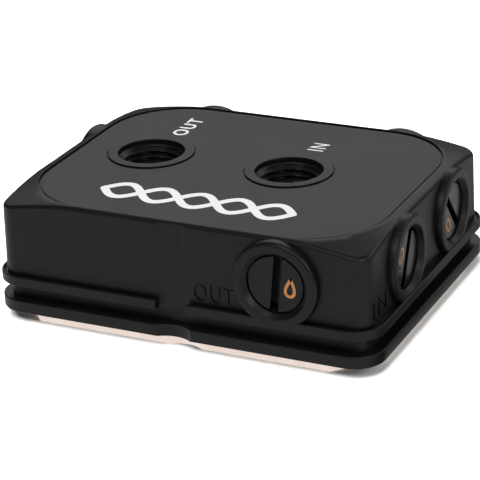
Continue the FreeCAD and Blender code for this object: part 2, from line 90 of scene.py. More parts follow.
@dataclass
class Draft:
    """A closed mesh in millimetres, gathered before it becomes a Blender object."""

    points: Ring = field(default_factory=list)
    faces: list[tuple[int, ...]] = field(default_factory=list)

    def loft(self, rings: Sequence[Ring]) -> "Draft":
        """Skin a row of rings with equal counts and close both ends.

        Args:
            rings: Rings of points, each turning the same way.

        Returns:
            This draft, so that calls can be chained.
        """
        count = len(rings[0])
        first = len(self.points)
        for ring in rings:
            self.points.extend(ring)
        for level in range(len(rings) - 1):
            low = first + level * count
            for step in range(count):
                after = (step + 1) % count
                self.faces.append((low + step, low + after, low + count + after,
                                   low + count + step))
        last = first + (len(rings) - 1) * count
        self.faces.append(tuple(reversed(range(first, first + count))))
        self.faces.append(tuple(range(last, last + count)))
        return self

    def to_object(self, name: str, place: Matrix | None = None) -> bpy.types.Object:
        """Make the draft a Blender object in metres.

        Args:
            name: The object's name.
            place: A placement in millimetres, or None to leave the points where they are.

        Returns:
            The linked mesh object, its faces turned outward.
        """
        place = place or Matrix.Identity(4)
        mesh = bpy.data.meshes.new(name)
        mesh.from_pydata([(place @ Vector(point)) * MM for point in self.points], [], self.faces)
        turn_outward(mesh)
        return link(name, mesh)


def link(name: str, mesh: bpy.types.Mesh) -> bpy.types.Object:
    """Link a mesh to the scene.

    Args:
        name: The object's name.
        mesh: Its mesh.

    Returns:
        The new object.
    """
    thing = bpy.data.objects.new(name, mesh)
    bpy.context.scene.collection.objects.link(thing)
    return thing


def turn_outward(mesh: bpy.types.Mesh) -> None:
    """Weld a mesh and turn all of its faces outward.

    Args:
        mesh: The mesh that changes.
    """
    work = bmesh.new()
    work.from_mesh(mesh)
    bmesh.ops.remove_doubles(work, verts=work.verts, dist=WELD * MM)
    bmesh.ops.recalc_face_normals(work, faces=work.faces)
    work.to_mesh(mesh)
    work.free()


def discard(thing: bpy.types.Object) -> None:
    """Delete an object and its mesh.

    Args:
        thing: The object, used up.
    """
    mesh = thing.data
    bpy.data.objects.remove(thing)
    bpy.data.meshes.remove(mesh)


def work_on(target: bpy.types.Object, cut: Cut, tools: Iterable[bpy.types.Object]) -> None:
    """Join others to a solid or take them away from it; they are used up.

    Args:
        target: The solid that changes.
        cut: What the tools do to it.
        tools: The solids that do it.
    """
    tools = list(tools)
    for tool in tools:
        step = target.modifiers.new(cut.name, "BOOLEAN")
        step.operation = cut.value
        step.solver = "MANIFOLD"
        step.object = tool
    bpy.context.view_layer.update()
    done = target.evaluated_get(bpy.context.evaluated_depsgraph_get())
    mesh = bpy.data.meshes.new_from_object(done)
    target.modifiers.clear()
    old, target.data = target.data, mesh
    bpy.data.meshes.remove(old)
    for tool in tools:
        discard(tool)


def smooth(thing: bpy.types.Object, sharp_degrees: float = 32.0) -> None:
    """Shade a mesh smooth with crisp edges and normals weighted to its flat faces.

    Args:
        thing: The mesh object.
        sharp_degrees: Edges that turn more than this stay crisp.
    """
    work = bmesh.new()
    work.from_mesh(thing.data)
    bmesh.ops.remove_doubles(work, verts=work.verts, dist=SEAM * MM)
    for edge in work.edges:
        turn = edge.calc_face_angle(math.pi) if len(edge.link_faces) == 2 else math.pi
        edge.smooth = turn < math.radians(sharp_degrees)
    for face in work.faces:
        face.smooth = True
    work.to_mesh(thing.data)
    work.free()
    weight = thing.modifiers.new("weighted normals", "WEIGHTED_NORMAL")
    weight.keep_sharp = True


def circle(radius: float, z: float, count: int) -> Ring:
    """Return a ring of points round the Z axis."""
    turns = (2 * math.pi * step / count for step in range(count))
    return [(radius * math.cos(turn), radius * math.sin(turn), z) for turn in turns]


def turned(name: str, profile: Sequence[tuple[float, float]], place: Matrix,
           count: int = 96) -> bpy.types.Object:
    """Turn a profile about the Z axis.

    Args:
        name: The object's name.
        profile: (radius, height) pairs along the outside, from one end to the other.
        place: Where it stands, in millimetres.
        count: Steps round the axis.

    Returns:
        The closed mesh object.
    """
    return Draft().loft([circle(radius, z, count) for radius, z in profile]).to_object(name, place)


def drum(name: str, radius: float, low: float, high: float, spot: tuple[float, float],
         count: int = 96) -> bpy.types.Object:
    """Make an upright round cutter.

    Args:
        name: The object's name.
        radius: Its radius.
        low: Height of its foot.
        high: Height of its top.
        spot: Where its axis stands.
        count: Steps round the axis.

    Returns:
        The closed mesh object.
    """
    return turned(name, [(radius, low), (radius, high)], Matrix.Translation((*spot, 0.0)), count)


def arc(centre: tuple[float, float], radius: float, start: float, end: float,
        steps: int = 5) -> list[tuple[float, float]]:
    """Return points on an arc, its angles given in degrees."""
    turns = (math.radians(start + (end - start) * step / steps) for step in range(steps + 1))
    return [(centre[0] + radius * math.cos(turn), centre[1] + radius * math.sin(turn))
            for turn in turns]


def block(name: str, low: Point, high: Point) -> bpy.types.Object:
    """Make a cutting block.

    Args:
        name: The object's name.
        low: The corner nearest the origin's left, front and foot.
        high: The corner across from it.

    Returns:
        The closed mesh object.
    """
    (x0, y0, z0), (x1, y1, z1) = low, high
    rings = [[(x0, y0, z), (x1, y0, z), (x1, y1, z), (x0, y1, z)] for z in (z0, z1)]
    return Draft().loft(rings).to_object(name)


def plate_of(name: str, outline: Sequence[tuple[float, float]], thickness: float,
             place: Matrix) -> bpy.types.Object:
    """Give a flat outline a thickness along +Z.

    Args:
        name: The object's name.
        outline: The corners in order.
        thickness: How far it rises.
        place: Where it lies, in millimetres.

    Returns:
        The closed mesh object.
    """
    rings = [[(x, y, z) for x, y in outline] for z in (0.0, thickness)]
    return Draft().loft(rings).to_object(name, place)


def stroke(path: Sequence[tuple[float, float]], width: float) -> list[tuple[float, float]]:
    """Return the outline of a pen stroke with round ends along a path.

    Args:
        path: The middle of the stroke.
        width: The pen's width.

    Returns:
        The outline's corners, anticlockwise.
    """
    half = width / 2
    spots = [Vector(spot) for spot in path]
    ways = [(spots[min(i + 1, len(spots) - 1)] - spots[max(i - 1, 0)]).normalized()
            for i in range(len(spots))]
    right = [(spot.x + way.y * half, spot.y - way.x * half) for spot, way in zip(spots, ways)]
    left = [(spot.x - way.y * half, spot.y + way.x * half) for spot, way in zip(spots, ways)]
    tip = math.degrees(math.atan2(ways[-1].y, ways[-1].x))
    tail = math.degrees(math.atan2(ways[0].y, ways[0].x))
    return (right[:-1] + arc(tuple(spots[-1]), half, tip - 90, tip + 90, 8)
            + left[-2:0:-1] + arc(tuple(spots[0]), half, tail + 90, tail + 270, 8)[:-1])


def word(text: str, width: float, height: float, thickness: float, bold: float,
         place: Matrix) -> bpy.types.Object:
    """Set a word as a solid that fills a given width and height.

    Args:
        text: The word.
        width: Its width along local X.
        height: Its height along local Y.
        thickness: How far the letters reach to each side of the local XY plane.
        bold: How far the letters' outlines are moved out, in parts of the type size.
        place: Where its lower left corner lies, in millimetres.

    Returns:
        The closed mesh object.
    """
    type_curve = bpy.data.curves.new(text, "FONT")
    type_curve.body = text
    type_curve.extrude = 0.5
    type_curve.offset = bold
    type_curve.resolution_u = 6
    type_curve.space_character = 1.2
    letters = bpy.data.objects.new(text, type_curve)
    bpy.context.scene.collection.objects.link(letters)
    bpy.context.view_layer.update()
    done = letters.evaluated_get(bpy.context.evaluated_depsgraph_get())
    mesh = bpy.data.meshes.new_from_object(done)
    bpy.data.objects.remove(letters)
    bpy.data.curves.remove(type_curve)
    spots = [vertex.co.copy() for vertex in mesh.vertices]
    low = Vector([min(spot[axis] for spot in spots) for axis in range(3)])
    high = Vector([max(spot[axis] for spot in spots) for axis in range(3)])
    fit = Matrix.Diagonal((width / (high.x - low.x), height / (high.y - low.y),
                           2 * thickness / (high.z - low.z), 1.0))
    shift = Matrix.Translation((-low.x, -low.y, -(low.z + high.z) / 2))
    mesh.transform(Matrix.Scale(MM, 4) @ place @ fit @ shift)
    turn_outward(mesh)
    return link(f"word_{text}", mesh)


def facing(origin: Vector, right: Vector, up: Vector) -> Matrix:
    """Make a placement from where its axes point.

    Args:
        origin: Where it stands.
        right: The unit vector of its X.
        up: The unit vector of its Y.

    Returns:
        The placement.
    """
    out = right.cross(up)
    matrix = Matrix((right, up, out)).transposed().to_4x4()
    matrix.translation = origin
    return matrix


# ---------------------------------------------------------------- the form of the block

@dataclass(frozen=True)
class Outline:
    """A rounded rectangle round the middle of the block."""

    half_x: float
    half_y: float
    corner: float
    corner_steps: int = 14
    side_steps: int = 56

    def grown(self, by: float) -> "Outline":
        """Return the outline moved outward all round."""
        return Outline(self.half_x + by, self.half_y + by, max(self.corner + by, 0.1),
                       self.corner_steps, self.side_steps)

    def stations(self) -> list[tuple[Vector, Vector]]:
        """Walk round the outline.

        Returns:
            (spot, outward direction) pairs, anticlockwise.
        """
        inner_x, inner_y = self.half_x - self.corner, self.half_y - self.corner
        found = []
        for quarter, (sign_x, sign_y) in enumerate(((1, 1), (-1, 1), (-1, -1), (1, -1))):
            middle = Vector((sign_x * inner_x, sign_y * inner_y))
            for step in range(self.corner_steps + 1):
                turn = math.pi / 2 * (quarter + step / self.corner_steps)
                way = Vector((math.cos(turn), math.sin(turn)))
                found.append((middle + way * self.corner, way))
            spot, way = found[-1]
            run = 2 * (inner_x if quarter % 2 == 0 else inner_y)
            along = Vector((-way.y, way.x))
            found += [(spot + along * run * step / self.side_steps, way)
                      for step in range(1, self.side_steps)]
        return found

    def ring(self, z: float) -> Ring:
        """Return the outline as a ring at a level."""
        return [(spot.x, spot.y, z) for spot, _ in self.stations()]

    def nearest(self, spot: Vector) -> tuple[Vector, float]:
        """Find the closest point of the outline.

        Args:
            spot: A spot outside the outline.

        Returns:
            The closest point, and how far away it is.
        """
        inner = Vector((self.half_x - self.corner, self.half_y - self.corner))
        core = Vector((max(-inner.x, min(inner.x, spot.x)), max(-inner.y, min(inner.y, spot.y))))
        way = (spot - core).normalized()
        return core + way * self.corner, (spot - core).length - self.corner


@dataclass(frozen=True)
class SidePort:
    """A plugged port in a wall, placed by its plug in the frame."""

    plug: str
    wall: Wall
    lean_degrees: float
    boss_radius: float = 9.1
    recess: float = 1.1
    mark_slide: float = 0.0

    def place(self, depth: float = 0.0) -> Matrix:
        """Return a placement on the port's axis with Z into the block and Y up.

        Args:
            depth: How far below the boss face the origin lies.

        Returns:
            The placement in millimetres.
        """
        low, high = (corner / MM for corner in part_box(self.plug))
        inward = self.wall.inward
        up = Vector((0, 0, 1))
        half = abs((high - low).dot(inward)) / 2
        origin = (low + high) / 2 - inward * (half + self.recess - depth)
        return facing(origin, up.cross(inward), up)

    def plug_place(self) -> Matrix:
        """Return the placement of the plug's face, turned by the plug's lean."""
        return self.place(self.recess) @ Matrix.Rotation(math.radians(self.lean_degrees), 4, "Z")


SIDE_PORTS = (
    SidePort("plug_front", Wall.FRONT, 6.0, 8.8),
    SidePort("plug_right_front", Wall.RIGHT, 203.0, 8.8),
    SidePort("plug_right_rear", Wall.RIGHT, 142.0, 8.8, mark_slide=1.2),
    SidePort("plug_left", Wall.LEFT, 15.0),
    SidePort("plug_back_left", Wall.BACK, -30.0),
    SidePort("plug_back_right", Wall.BACK, 50.0),
)


@dataclass(frozen=True)
class Thread:
    """A G1/4 pipe thread, crests at the bore and roots outside them."""

    bore: float = 5.8
    root: float = 6.58
    pitch: float = 1.337
    mouth: float = 6.85
    mouth_round: float = 0.2
    mouth_depth: float = 1.1
    rows_per_turn: int = 10
    count: int = 96

    def radius(self, turn: float, depth: float) -> float:
        """Find the radius of the thread's surface.

        Args:
            turn: How far round, from 0 to 1.
            depth: How far below the mouth.

        Returns:
            The radius, between the bore's and the root's.
        """
        phase = (depth / self.pitch - turn) % 1.0
        rise = (1 - abs(2 * phase - 1)) * 1.3 - 0.15
        return self.bore + (self.root - self.bore) * max(0.0, min(1.0, rise))

    def cutter(self, name: str, floor: float, threaded: float, place: Matrix) -> bpy.types.Object:
        """Make the solid that cuts the mouth, the thread and the bore below it.

        Args:
            name: The object's name.
            floor: Depth of the bore's floor.
            threaded: Depth at which the thread has run out.
            place: Where the mouth is, Z into the block.

        Returns:
            The cutter.
        """
        start = self.mouth_round
        bend = arc((self.mouth + start, start), start, 270, 180)
        profile = [(self.mouth + start, -1.0), *bend]
        rings = [circle(radius, depth, self.count) for radius, depth in profile]
        rows = math.ceil((threaded - start) / self.pitch * self.rows_per_turn)
        for row in range(1, rows + 1):
            depth = start + (threaded - start) * row / rows
            fade = min(1.0, (threaded - depth) / self.pitch)
            ring = []
            for step in range(self.count):
                turn = step / self.count
                cone = self.mouth - max(0.0, depth - self.mouth_depth)
                cut = self.bore + (self.radius(turn, depth) - self.bore) * fade
                reach = max(cone, cut)
                ring.append((reach * math.cos(2 * math.pi * turn),
                             reach * math.sin(2 * math.pi * turn), depth))
            rings.append(ring)
        rings.append(circle(self.bore, floor, self.count))
        return Draft().loft(rings).to_object(name, place)


@dataclass(frozen=True)
class Housing:
    """The moulded block: foot with its groove, drafted walls, sloped crown, bosses and ports."""

    foot_base: float = 2.3
    lip: Outline = Outline(41.05, 32.1, 6.2)
    groove: Outline = Outline(38.5, 29.6, 2.0)
    lower_lip_top: float = 4.8
    upper_lip_base: float = 8.0
    upper_lip_top: float = 10.0
    lip_round: float = 0.2
    gutter: float = 0.4
    wall: Outline = Outline(39.6, 30.67, 3.8)
    draft_degrees: float = 1.2
    crest: float = 26.05
    slope: float = 3.2 / 12.0
    panel: Outline = Outline(37.1, 29.25, 16.15)
    panel_recess: float = 0.3
    # the panel's edge: insets and depth of the fine groove along it, then its eased corner as
    # (outward shift, height over the crest)
    rim_groove: tuple[float, float, float] = (0.5, 0.42, 0.1)
    rim_groove_depth: float = 0.25
    rim_corner: tuple[tuple[float, float], ...] = ((-0.08, -0.1), (-0.05, -0.03), (0.02, 0.02),
                                                   (0.02, 1.0))
    # the brow is rounder on the right wall
    brow_round: float = 0.8
    right_brow_ease: float = 0.5
    # the slope runs softly into the panel's rim where it faces the front and right
    crest_ease: float = 1.8
    crest_ease_least: float = 0.05
    crest_ease_share: float = 0.8
    crest_ease_way: tuple[float, float] = (0.44, -0.9)
    crest_ease_parts: tuple[float, ...] = (1.0, 0.8, 0.6, 0.4, 0.2, 0.0)
    boss_round: float = 0.8
    boss_root: float = 8.0
    collar_radius: float = 8.94
    collar_rise: float = 0.3
    collar_ease: float = 0.08
    moat_width: float = 0.25
    moat_depth: float = 0.3
    top_ports: tuple[tuple[float, float], ...] = ((-21.54, 1.98), (9.47, 1.98))
    top_bore_floor: float = 12.4
    throat_radius: float = 4.5
    side_bore_depth: float = 9.4
    plug_gap_radius: float = 6.0
    plug_gap_depth: float = 0.7
    chamber: Outline = Outline(29.0, 21.5, 5.0)
    chamber_ceiling: float = 11.0
    seal: Outline = Outline(31.2, 23.7, 5.0)
    seal_width: float = 2.4
    seal_depth: float = 1.5
    # the front notch: gap in the upper lip, scoop in the lower one, and the shallow channel up
    # the wall as (place along X, depth)
    lip_gap: tuple[float, float] = (-3.8, 2.35)
    scoop_x: float = -0.55
    scoop_radius: float = 6.5
    scoop_depth: float = 1.2
    channel: tuple[tuple[float, float], ...] = ((-4.1, -0.03), (-2.9, 0.13), (1.4, 0.13),
                                                (2.4, -0.03))
    # each engraved word: where it starts along its wall, its foot, its width and its height
    engraved_out: tuple[float, float, float, float] = (3.7, 10.8, 8.5, 3.6)
    engraved_in: tuple[float, float, float, float] = (-28.0, 11.1, 6.4, 3.5)
    engraved_middle: float = 1.8
    engraved_depth: float = 0.28
    engraved_bold: float = 0.012
    thread: Thread = Thread()

    def slope_level(self, spot: Vector) -> float:
        """Return the height of the crown's slope over a spot outside the panel."""
        return self.crest - self.slope * self.panel.nearest(spot)[1]

    def wall_spot(self, foot: Vector, way: Vector, z: float) -> Vector:
        """Return the wall's place at a height, moved in by the draft."""
        return foot - way * math.tan(math.radians(self.draft_degrees)) * (z - self.upper_lip_base)

    def wall_half(self, half: float, z: float) -> float:
        """Return half the housing's width at a height, from its half width at the foot."""
        return half - math.tan(math.radians(self.draft_degrees)) * (z - self.upper_lip_base)

    def brow(self, foot: Vector, way: Vector) -> Ring:
        """Round the edge between the wall and the slope above one station.

        Args:
            foot: The wall's place at the foot of the draft.
            way: The wall's outward direction.

        Returns:
            Points from the wall, over the brow, onto the slope.
        """
        z = self.crest
        for _ in range(4):
            edge = self.wall_spot(foot, way, z)
            z = self.slope_level(edge)
        step = 0.5
        fall = math.atan((self.slope_level(edge - way * step) - z) / step)
        draft = math.radians(self.draft_degrees)
        turn = math.pi / 2 - fall - draft
        radius = self.brow_round + self.right_brow_ease * max(0.0, way.x)
        reach = radius * math.tan(turn / 2)
        start = (reach * math.sin(draft), -reach * math.cos(draft))
        middle = (start[0] - radius * math.cos(draft), start[1] - radius * math.sin(draft))
        bend = arc(middle, radius, self.draft_degrees, 90 - math.degrees(fall), 8)
        return [(edge.x + way.x * out, edge.y + way.y * out, z + rise) for out, rise in bend]

    def upper_block(self) -> bpy.types.Object:
        """Make the block above the lips: walls, brow and slopes up to the panel's rim.

        Returns:
            The solid.
        """
        stations = self.wall.stations()
        columns = []
        for foot, way in stations:
            low = self.upper_lip_base + 0.2
            base = self.wall_spot(foot, way, low)
            column = [(base.x, base.y, low), *self.brow(foot, way)]
            column += self.crest_blend(column[-1], way)
            columns.append(column)
        rings = [list(ring) for ring in zip(*columns)]
        return Draft().loft(rings).to_object("housing_body")

    def crest_blend(self, end: Point, way: Vector) -> Ring:
        """Run the slope up to the panel's rim, softly where it faces front and right.

        Args:
            end: Where the brow meets the slope.
            way: The wall's outward direction.

        Returns:
            Points from the slope's upper part to the rim.
        """
        rim, distance = self.panel.nearest(Vector(end[:2]))
        along = (Vector(end[:2]) - rim).normalized()
        toward = max(0.0, way.dot(Vector(self.crest_ease_way)))
        reach = min(self.crest_ease_least + self.crest_ease * toward,
                    distance * self.crest_ease_share)
        found = []
        for part in self.crest_ease_parts:
            spot = rim + along * reach * part
            found.append((spot.x, spot.y, self.crest - self.slope * reach * (1 + part ** 2) / 2))
        return found

    def panel_cutter(self) -> bpy.types.Object:
        """Make the cutter that sinks the top panel, its edge eased.

        Returns:
            The cutter.
        """
        floor = self.crest - self.panel_recess
        deep = floor - self.rim_groove_depth
        start, inner, outer = self.rim_groove
        section = [(-start, floor), (-inner, deep), (-outer, deep),
                   *((shift, self.crest + rise) for shift, rise in self.rim_corner)]
        rings = [self.panel.grown(shift).ring(z) for shift, z in section]
        return Draft().loft(rings).to_object("panel")

    def foot(self) -> bpy.types.Object:
        """Make the two lips with the undercut bracket groove between them.

        Returns:
            The solid.
        """
        rings = [*self.lip_rings(self.foot_base, self.lower_lip_top),
                 self.groove.ring(self.lower_lip_top), self.groove.ring(self.upper_lip_base),
                 *self.lip_rings(self.upper_lip_base, self.upper_lip_top),
                 self.lip.grown(-self.gutter).ring(self.upper_lip_top),
                 self.lip.grown(-2 * self.gutter).ring(self.upper_lip_top - self.gutter)]
        return Draft().loft(rings).to_object("housing_foot")

    def lip_rings(self, low: float, high: float) -> list[Ring]:
        """Return the rings of one lip, its edges rounded.

        Args:
            low: Height of its underside.
            high: Height of its top.

        Returns:
            Rings from the underside to the top.
        """
        radius = self.lip_round
        section = [*arc((-radius, low + radius), radius, -90, 0, 4),
                   *arc((-radius, high - radius), radius, 0, 90, 4)]
        return [self.lip.grown(shift).ring(z) for shift, z in section]

    def boss(self, port: SidePort) -> bpy.types.Object:
        """Make one round port boss with a rounded rim, its face at depth 0.

        Args:
            port: The port that it carries.

        Returns:
            The solid.
        """
        rim = port.boss_radius - self.boss_round
        bend = arc((rim, self.boss_round), self.boss_round, -90, 0, 6)
        profile = [(rim * 0.5, 0.0), *bend, (port.boss_radius, self.boss_root)]
        return turned(f"boss_{port.plug}", profile, port.place())

    def collar(self, spot: tuple[float, float]) -> bpy.types.Object:
        """Make the low round collar of a top port.

        Args:
            spot: Where the port's axis stands.

        Returns:
            The solid.
        """
        floor = self.crest - self.panel_recess
        top, ease = floor + self.collar_rise, self.collar_ease
        bend = arc((self.collar_radius - ease, top - ease), ease, 0, 90, 3)
        profile = [(self.collar_radius, floor - 1.0), *bend]
        return turned("collar", profile, Matrix.Translation((*spot, 0.0)))

    def moat(self, spot: tuple[float, float]) -> bpy.types.Object:
        """Return the cutter of the fine gap round a top port's collar."""
        return drum("moat", self.collar_radius + self.moat_width,
                    self.crest - self.panel_recess - self.moat_depth, self.crest + 1.0, spot)

    def side_cutter(self, port: SidePort) -> bpy.types.Object:
        """Make the cutter of a side port.

        Args:
            port: The port that it cuts.

        Returns:
            The cutter, with a rounded mouth, a cone, a gap round the plug's head and a bore.
        """
        thread = self.thread
        ease = thread.mouth_round
        reach = thread.mouth + ease * math.tan(math.radians(22.5))
        bend = arc((reach, ease), ease, 270, 225)
        gap_floor = port.recess + self.plug_gap_depth
        profile = [(reach, -1.0), *bend, (self.plug_gap_radius, port.recess - 0.1),
                   (self.plug_gap_radius, gap_floor), (thread.bore, gap_floor + 0.05),
                   (thread.bore, self.side_bore_depth)]
        return turned(f"bore_{port.plug}", profile, port.place())

    def top_cutters(self) -> list[bpy.types.Object]:
        """Make the cutters of the two threaded top ports and their throats.

        Returns:
            The four cutters.
        """
        top = self.crest - self.panel_recess + self.collar_rise
        down = Matrix.Rotation(math.pi, 4, "X")
        found = []
        for x, y in self.top_ports:
            place = Matrix.Translation((x, y, top)) @ down
            floor = top - self.top_bore_floor
            found.append(self.thread.cutter("top_bore", floor, floor - 1.5, place))
            found.append(turned("throat", [(self.throat_radius, floor - 0.5),
                                           (self.throat_radius, top - self.chamber_ceiling + 0.5)],
                                place))
        return found

    def underside_cutters(self) -> list[bpy.types.Object]:
        """Make the cutters of the water chamber and of the seal's groove.

        Returns:
            The two cutters.
        """
        low = self.foot_base - 1.0
        chamber = Draft().loft([self.chamber.ring(low), self.chamber.ring(self.chamber_ceiling)])
        half = self.seal_width / 2
        deep = self.foot_base + self.seal_depth
        outer, inner = self.seal.grown(half), self.seal.grown(-half)
        groove = Draft().loft([outer.ring(low), outer.ring(deep)]).to_object("seal_groove")
        island = Draft().loft([inner.ring(low - 1.0), inner.ring(deep + 1.0)])
        work_on(groove, Cut.TAKE, [island.to_object("seal_island")])
        return [chamber.to_object("chamber"), groove]

    def notch_cutters(self) -> list[bpy.types.Object]:
        """Make the cutters of the front notch: lip gap, lip scoop and wall channel.

        Returns:
            The three cutters.
        """
        outside = -(self.lip.half_y + 2.0)
        wall_y = -self.wall.half_y
        left, right = self.lip_gap
        gap = block("lip_gap", (left, outside, self.upper_lip_base - 0.5),
                    (right, wall_y, self.upper_lip_top + 1.0))
        scoop_y = -(self.lip.half_y + self.scoop_radius - self.scoop_depth)
        scoop = drum("lip_scoop", self.scoop_radius, self.foot_base - 1.0, self.lower_lip_top + 0.6,
                     (self.scoop_x, scoop_y))
        lean = math.tan(math.radians(self.draft_degrees)) * (self.crest - self.upper_lip_base)
        rings = []
        for x, depth in self.channel:
            side = [(outside, self.upper_lip_base), (wall_y + depth, self.upper_lip_base),
                    (wall_y + depth + lean, self.crest), (outside, self.crest)]
            rings.append([(x, y, z) for y, z in side])
        return [gap, scoop, Draft().loft(rings).to_object("wall_channel")]

    def engraved_words(self) -> list[bpy.types.Object]:
        """Make the words that are engraved in the front and right walls.

        Returns:
            The two cutters.
        """
        up = Vector((0, 0, 1))
        start, foot, width, height = self.engraved_out
        wall_y = -self.wall_half(self.wall.half_y, foot + self.engraved_middle)
        outlet = word("OUT", width, height, self.engraved_depth, self.engraved_bold,
                      facing(Vector((start, wall_y, foot)), Vector((1, 0, 0)), up))
        start, foot, width, height = self.engraved_in
        wall_x = self.wall_half(self.wall.half_x, foot + self.engraved_middle)
        inlet = word("IN", width, height, self.engraved_depth, self.engraved_bold,
                     facing(Vector((wall_x, start, foot)), Vector((0, 1, 0)), up))
        return [outlet, inlet]

    def build(self) -> bpy.types.Object:
        """Shape the whole housing.

        Returns:
            The finished mesh object, standing for the housing's node.
        """
        housing = self.upper_block()
        bosses = [self.boss(port) for port in SIDE_PORTS]
        work_on(housing, Cut.JOIN, [self.foot(), *bosses])
        work_on(housing, Cut.TAKE, [self.panel_cutter()])
        work_on(housing, Cut.TAKE, [self.moat(spot) for spot in self.top_ports])
        work_on(housing, Cut.JOIN, [self.collar(spot) for spot in self.top_ports])
        cutters = [self.side_cutter(port) for port in SIDE_PORTS]
        cutters += self.top_cutters() + self.underside_cutters() + self.notch_cutters()
        cutters += [drum("pilot_hole", SCREW.core, self.foot_base - 1.0, SCREW.length, spot)
                    for spot in SCREW_SPOTS]
        work_on(housing, Cut.TAKE, cutters + self.engraved_words())
        housing.name = "moulded_housing"
        smooth(housing)
        return housing


@dataclass(frozen=True)
class Screw:
    """A countersunk M2.5 screw that holds the copper plate, its head down."""

    head: float = 2.3
    head_ease: float = 0.1
    core: float = 1.25
    length: float = 7.0
    tip: float = 0.6
    tip_taper: float = 0.4
    play: float = 0.06
    sunk: float = 0.12
    socket: float = 0.95
    socket_depth: float = 0.8

    def hole(self, x: float, y: float) -> bpy.types.Object:
        """Make the cutter of the countersunk hole in the plate.

        Args:
            x: Place of its axis along X.
            y: Place of its axis along Y.

        Returns:
            The cutter.
        """
        head, core = self.head + self.play, self.core + self.play
        profile = [(head, -1.0), (head, self.sunk), (core, self.sunk + head - core), (core, 3.0)]
        return turned("screw_hole", profile, Matrix.Translation((x, y, 0.0)), 48)

    def build(self, name: str, x: float, y: float) -> bpy.types.Object:
        """Turn the screw and cut its hexagon socket.

        Args:
            name: The object's name.
            x: Place of its axis along X.
            y: Place of its axis along Y.

        Returns:
            The finished mesh object.
        """
        ease, top = self.head_ease, self.sunk + self.head - self.core
        profile = [(self.head - ease, self.sunk), (self.head, self.sunk + ease), (self.core, top),
                   (self.core, self.length - self.tip),
                   (self.core - self.tip_taper, self.length - ease)]
        screw = turned(name, profile, Matrix.Translation((x, y, 0.0)), 48)
        work_on(screw, Cut.TAKE, [drum("socket", self.socket, -1.0, self.sunk + self.socket_depth,
                                       (x, y), 6)])
        smooth(screw)
        return screw


SCREW = Screw()
SCREW_SPOTS = ((-20.0, -26.9), (20.0, -26.9), (-20.0, 26.9), (20.0, 26.9), (-35.9, 0.0), (35.9, 0.0))


@dataclass(frozen=True)
class BasePlate:
    """The copper plate: cut corners, eased edges, a front notch, screw holes and fins."""

    half_x: float = 39.25
    half_y: float = 30.3
    thickness: float = 2.3
    corner_leg: float = 8.0
    edge_break: float = 0.3
    top_ease: float = 0.08
    notch_x: float = 1.0
    notch_radius: float = 6.0
    notch_depth: float = 1.3
    fin_count: int = 30
    fin_pitch: float = 1.0
    fin_thickness: float = 0.5
    fin_rise: float = 3.0
    fin_half_length: float = 12.0

    def ring(self, z: float, inset: float) -> Ring:
        """Draw the plate's outline with its cut corners.

        Args:
            z: The level.
            inset: How far the outline is moved inward.

        Returns:
            The outline as a ring.
        """
        x, y = self.half_x - inset, self.half_y - inset
        leg = self.corner_leg - inset * (2 - math.sqrt(2))
        corners = [(x, leg - y), (x, y - leg), (x - leg, y), (leg - x, y),
                   (-x, y - leg), (-x, leg - y), (leg - x, -y), (x - leg, -y)]
        return [(px, py, z) for px, py in corners]

    def build(self) -> bpy.types.Object:
        """Shape the plate, cut its notch and holes and set up its fins.

        Returns:
            The finished mesh object.
        """
        ease = self.top_ease
        plate = Draft().loft([self.ring(0.0, self.edge_break), self.ring(self.edge_break, 0.0),
                              self.ring(self.thickness - ease, 0.0),
                              self.ring(self.thickness, ease)]).to_object("dressed_cold_plate")
        left = -(self.fin_pitch * (self.fin_count - 1) + self.fin_thickness) / 2
        reach, foot = self.fin_half_length, self.thickness - 0.5
        fins = [block("fin", (left + i * self.fin_pitch, -reach, foot),
                      (left + i * self.fin_pitch + self.fin_thickness, reach,
                       self.thickness + self.fin_rise)) for i in range(self.fin_count)]
        work_on(plate, Cut.JOIN, fins)
        centre_y = -(self.half_y + self.notch_radius - self.notch_depth)
        notch = drum("notch", self.notch_radius, -1.0, self.thickness + 1.0,
                     (self.notch_x, centre_y))
        work_on(plate, Cut.TAKE, [notch, *(SCREW.hole(x, y) for x, y in SCREW_SPOTS)])
        smooth(plate)
        return plate


@dataclass(frozen=True)
class Plug:
    """A slotted port plug with a chamfered face and softened slot edges."""

    port: SidePort
    radius: float = 5.8
    face_radius: float = 5.66
    head: float = 0.7
    edge_round: float = 0.12
    length: float = 7.3
    slot_half: float = 0.8
    slot_depth: float = 2.0
    slot_ease: float = 0.14

    def build(self) -> bpy.types.Object:
        """Turn the plug and cut its slot.

        Returns:
            The finished mesh object.
        """
        place = self.port.plug_place()
        ease = self.edge_round
        bend = arc((self.face_radius - ease, ease), ease, -90, 0, 4)
        profile = [(self.face_radius / 2, 0.0), *bend, (self.face_radius, self.head),
                   (self.radius, self.head + 0.1), (self.radius, self.length)]
        plug = turned(f"dressed_{self.port.plug}", profile, place)
        reach = self.radius + 2.0
        half, soft = self.slot_half, self.slot_ease
        side = [(-half - soft, -0.4), (half + soft, -0.4), (half + soft, 0.0), (half, soft),
                (half, self.slot_depth), (-half, self.slot_depth), (-half, soft), (-half - soft, 0.0)]
        rings = [[(x, y, z) for x, z in side] for y in (-reach, reach)]
        work_on(plug, Cut.TAKE, [Draft().loft(rings).to_object("slot", place)])
        smooth(plug)
        return plug


